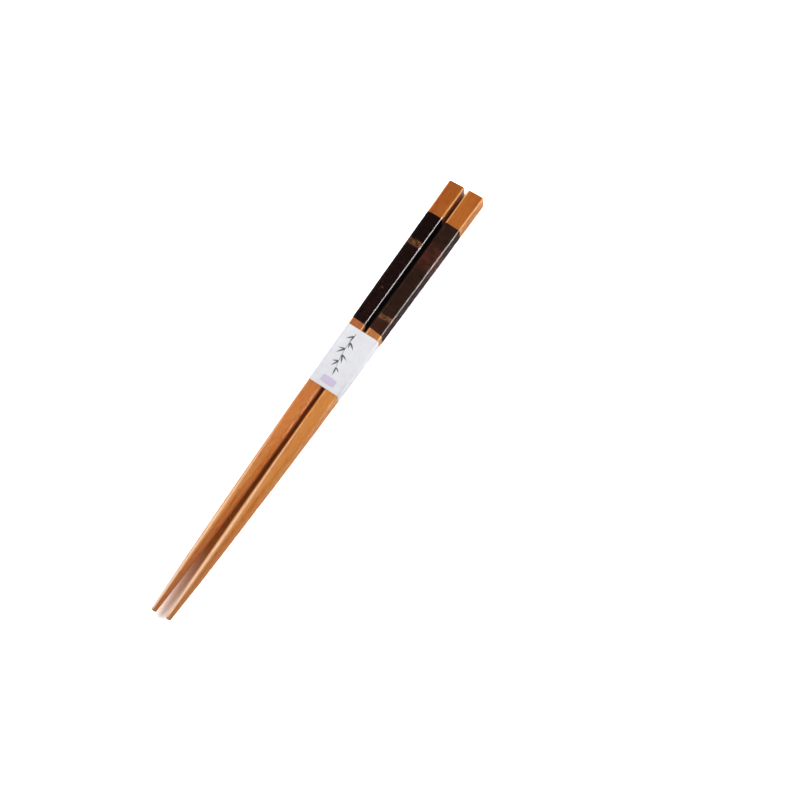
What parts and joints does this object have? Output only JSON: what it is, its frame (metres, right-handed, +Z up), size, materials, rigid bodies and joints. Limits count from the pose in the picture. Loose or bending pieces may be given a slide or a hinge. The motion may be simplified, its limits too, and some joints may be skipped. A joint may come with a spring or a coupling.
{
  "type": "pair of bamboo chopsticks",
  "caption": "Pair of tapered bamboo chopsticks, square at the head and round at the tip, with bark-wrapped grips, held side by side by a paper band.",
  "frame": {"origin": "on the surface that the pair lies on, under the centre of its bounding box", "axes": "+X along the sticks towards their square heads, +Y towards the left stick, +Z up out of the surface"},
  "size_m": [0.235, 0.0172, 0.0079],
  "materials": {
    "bamboo": "sanded and oiled, satin",
    "bark": "polished, glossy",
    "paper": "uncoated, matt"
  },
  "bodies": {
    "root": {"left_stick": "bamboo", "right_stick": "bamboo", "left_bark_wrap": "bark", "right_bark_wrap": "bark", "paper_band": "paper"}
  },
  "joints": []
}
